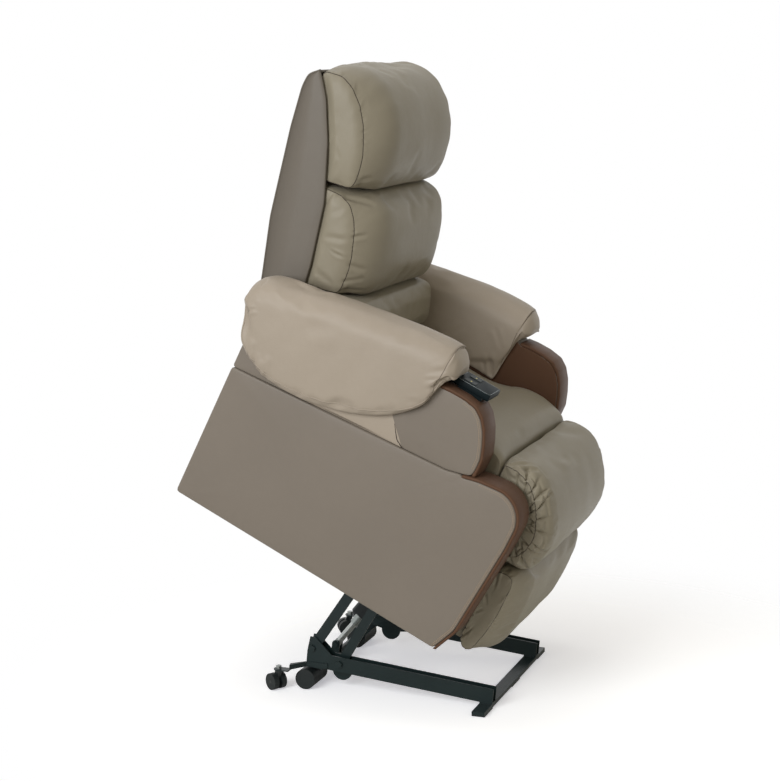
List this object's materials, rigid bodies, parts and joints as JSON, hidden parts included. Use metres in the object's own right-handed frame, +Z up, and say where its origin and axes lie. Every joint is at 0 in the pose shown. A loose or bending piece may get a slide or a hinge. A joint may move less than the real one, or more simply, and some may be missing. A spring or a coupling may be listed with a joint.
{
  "type": "power lift recliner chair",
  "caption": "Power lift recliner shown raised and tipped forward on steel lift links, with padded arms, pillow back, footrest, handset, rear rollers and castors.",
  "frame": {"origin": "on the floor, under the middle of the front foot bar", "axes": "+X to the sitter's left, the chair faces -Y, +Z up"},
  "size_m": [0.81, 0.9554, 1.6036],
  "materials": {
    "steel": "dark powder coat",
    "rubber": "moulded black rubber",
    "silver": "zinc plated",
    "gloss_black": "gloss moulded plastic",
    "timber": "sawn timber and board",
    "strap_grey": "woven elastic webbing",
    "pillow_grey": "soft leather",
    "taupe": "smooth leather over panels",
    "brown": "smooth leather",
    "beige": "soft leather"
  },
  "bodies": {
    "base": {"front_foot_bar": "steel", "foot_pads": "rubber", "base_rail_right": "steel", "base_rail_left": "steel", "rear_cross_tube": "steel", "base_pivot_bolts": "silver", "castor_bracket_right": "steel", "castor_bracket_left": "steel"},
    "roller_right": {"rear_roller_right": "rubber"},
    "roller_left": {"rear_roller_left": "rubber"},
    "fork_right": {"castor_fork_right": "steel"},
    "fork_left": {"castor_fork_left": "steel"},
    "wheels_right": {"castor_wheels_right": "rubber"},
    "wheels_left": {"castor_wheels_left": "rubber"},
    "rear_links": {"rear_link_right": "steel", "rear_link_left": "steel", "rear_link_tube": "steel"},
    "front_links": {"front_link_right": "steel", "front_link_left": "steel"},
    "lift_rod": {"lift_rod": "silver"},
    "lift_motor": {"lift_tube": "silver", "lift_motor": "gloss_black"},
    "carriage": {"carriage_side_right": "steel", "carriage_side_left": "steel", "carriage_tubes": "steel", "carriage_bolts": "silver", "seat_front_rail": "timber", "seat_rear_rail": "timber", "seat_webbing": "strap_grey", "seat_cushion": "pillow_grey", "front_roll": "pillow_grey", "lower_arm_right": "taupe", "lower_arm_left": "taupe", "lower_band_right": "brown", "lower_band_left": "brown", "upper_arm_right": "taupe", "upper_arm_left": "taupe", "upper_band_right": "brown", "upper_band_left": "brown", "arm_pillow_right": "beige", "arm_pillow_left": "beige", "rear_panel": "taupe", "control_box": "gloss_black", "handset_holder": "gloss_black"},
    "recline_motor": {"recline_motor": "gloss_black"},
    "recline_rod": {"recline_rod": "silver"},
    "back": {"back_frame": "timber", "back_board": "timber", "back_shell": "taupe", "back_wing_right": "taupe", "back_wing_left": "taupe", "head_pillow": "pillow_grey", "middle_pillow": "pillow_grey", "lumbar_pillow": "pillow_grey"},
    "footrest": {"footrest_links": "steel", "footrest_board": "timber", "footrest_pad": "pillow_grey"},
    "handset": {"handset": "gloss_black"},
    "button_up": {"button_up": "silver"},
    "button_down": {"button_down": "silver"}
  },
  "joints": [
    {"name": "lift", "type": "hinge", "parent": "base", "child": "rear_links", "pos_m": [0, 0.4731, 0.10798], "axis": [1, 0, 0], "range_deg": [0, 54.8]},
    {"name": "seat_tilt", "type": "hinge", "parent": "rear_links", "child": "carriage", "pos_m": [0, 0.27587, 0.39712], "axis": [-1, 0, 0], "range_deg": [0, 81.3]},
    {"name": "front_link_turn", "type": "hinge", "parent": "base", "child": "front_links", "pos_m": [0, 0.39821, 0.07171], "axis": [1, 0, 0], "range_deg": [0, 54.3]},
    {"name": "lift_motor_turn", "type": "hinge", "parent": "base", "child": "lift_rod", "pos_m": [-0.01, 0.484, 0.06], "axis": [1, 0, 0], "range_deg": [0, 47.08]},
    {"name": "lift_stroke", "type": "slide", "parent": "lift_rod", "child": "lift_motor", "axis": [0, 0.6385, -0.7696], "range_m": [0, 0.03278]},
    {"name": "back_recline", "type": "hinge", "parent": "carriage", "child": "back", "pos_m": [0, 0.60692, 0.80575], "axis": [-1, 0, 0], "range_deg": [0, 40]},
    {"name": "recline_motor_turn", "type": "hinge", "parent": "carriage", "child": "recline_motor", "pos_m": [0.06, 0.15832, 0.46478], "axis": [1, 0, 0], "range_deg": [0, 4.04]},
    {"name": "recline_stroke", "type": "slide", "parent": "recline_motor", "child": "recline_rod", "axis": [0, -0.8924, -0.4513], "range_m": [0, 0.06178]},
    {"name": "footrest_swing", "type": "hinge", "parent": "carriage", "child": "footrest", "pos_m": [0, -0.10948, 0.53351], "axis": [-1, 0, 0], "range_deg": [0, 88]},
    {"name": "handset_lift", "type": "slide", "parent": "carriage", "child": "handset", "axis": [0, -0.9487, 0.3162], "range_m": [0, 0.06]},
    {"name": "button_up_press", "type": "slide", "parent": "handset", "child": "button_up", "axis": [0, 0.4462, -0.8949], "range_m": [0, 0.002], "stiffness_N_per_m": 400},
    {"name": "button_down_press", "type": "slide", "parent": "handset", "child": "button_down", "axis": [0, 0.4462, -0.8949], "range_m": [0, 0.002], "stiffness_N_per_m": 400},
    {"name": "roller_right_spin", "type": "hinge", "parent": "base", "child": "roller_right", "pos_m": [-0.1845, 0.488, 0.027], "axis": [1, 0, 0], "continuous": true},
    {"name": "castor_right_swivel", "type": "hinge", "parent": "base", "child": "fork_right", "pos_m": [-0.254, 0.551, 0.05], "axis": [0, 0, 1], "continuous": true},
    {"name": "castor_right_spin", "type": "hinge", "parent": "fork_right", "child": "wheels_right", "pos_m": [-0.24764, 0.56118, 0.022], "axis": [0.848, -0.5299, 0], "continuous": true},
    {"name": "roller_left_spin", "type": "hinge", "parent": "base", "child": "roller_left", "pos_m": [0.1845, 0.488, 0.027], "axis": [1, 0, 0], "continuous": true},
    {"name": "castor_left_swivel", "type": "hinge", "parent": "base", "child": "fork_left", "pos_m": [0.254, 0.551, 0.05], "axis": [0, 0, 1], "continuous": true},
    {"name": "castor_left_spin", "type": "hinge", "parent": "fork_left", "child": "wheels_left", "pos_m": [0.24764, 0.56118, 0.022], "axis": [0.848, 0.5299, 0], "continuous": true}
  ],
  "couplings": [
    {"joint": "seat_tilt", "follows": "lift", "ratio": 1.4836},
    {"joint": "front_link_turn", "follows": "lift", "ratio": 0.99087},
    {"joint": "lift_motor_turn", "follows": "lift", "ratio": 0.85912},
    {"joint": "lift_stroke", "follows": "lift", "m_per_rad": 0.03427},
    {"joint": "recline_motor_turn", "follows": "back_recline", "ratio": 0.10101},
    {"joint": "recline_stroke", "follows": "back_recline", "m_per_rad": 0.08848}
  ]
}
